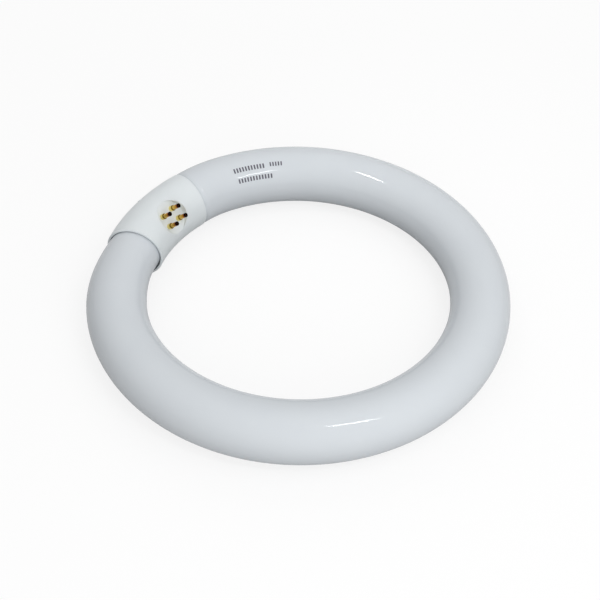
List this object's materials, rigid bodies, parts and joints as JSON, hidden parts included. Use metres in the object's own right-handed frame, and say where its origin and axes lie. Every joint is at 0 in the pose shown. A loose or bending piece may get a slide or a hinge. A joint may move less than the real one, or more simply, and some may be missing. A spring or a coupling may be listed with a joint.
{
  "type": "circular fluorescent tube",
  "caption": "Ring-shaped fluorescent lamp: white glass tube bent into a circle, its ends joined by a moulded base with tilted contact pins.",
  "frame": {"origin": "middle of the ring, on the plane of the tube's centreline", "axes": "+Z along the ring's axis, to the side that the contact pins lean to; +Y from the middle of the ring through the middle of the base"},
  "size_m": [0.216, 0.2143, 0.0319],
  "materials": {
    "glass": "phosphor-coated soda-lime glass, gloss outside",
    "base_plastic": "moulded white, satin",
    "brass": "turned, bright",
    "wire": "drawn, nickel-plated",
    "sleeve": "woven sleeve, matt",
    "ink": "thin printed ink, the mark on the glass"
  },
  "bodies": {
    "root": {"glass_tube": "glass", "base_pin_shell": "base_plastic", "base_back_shell": "base_plastic", "contact_pin_1": "brass", "lead_wire_1": "wire", "wire_sleeve_1": "sleeve", "contact_pin_2": "brass", "lead_wire_2": "wire", "wire_sleeve_2": "sleeve", "contact_pin_3": "brass", "lead_wire_3": "wire", "wire_sleeve_3": "sleeve", "contact_pin_4": "brass", "lead_wire_4": "wire", "wire_sleeve_4": "sleeve"}
  },
  "joints": []
}
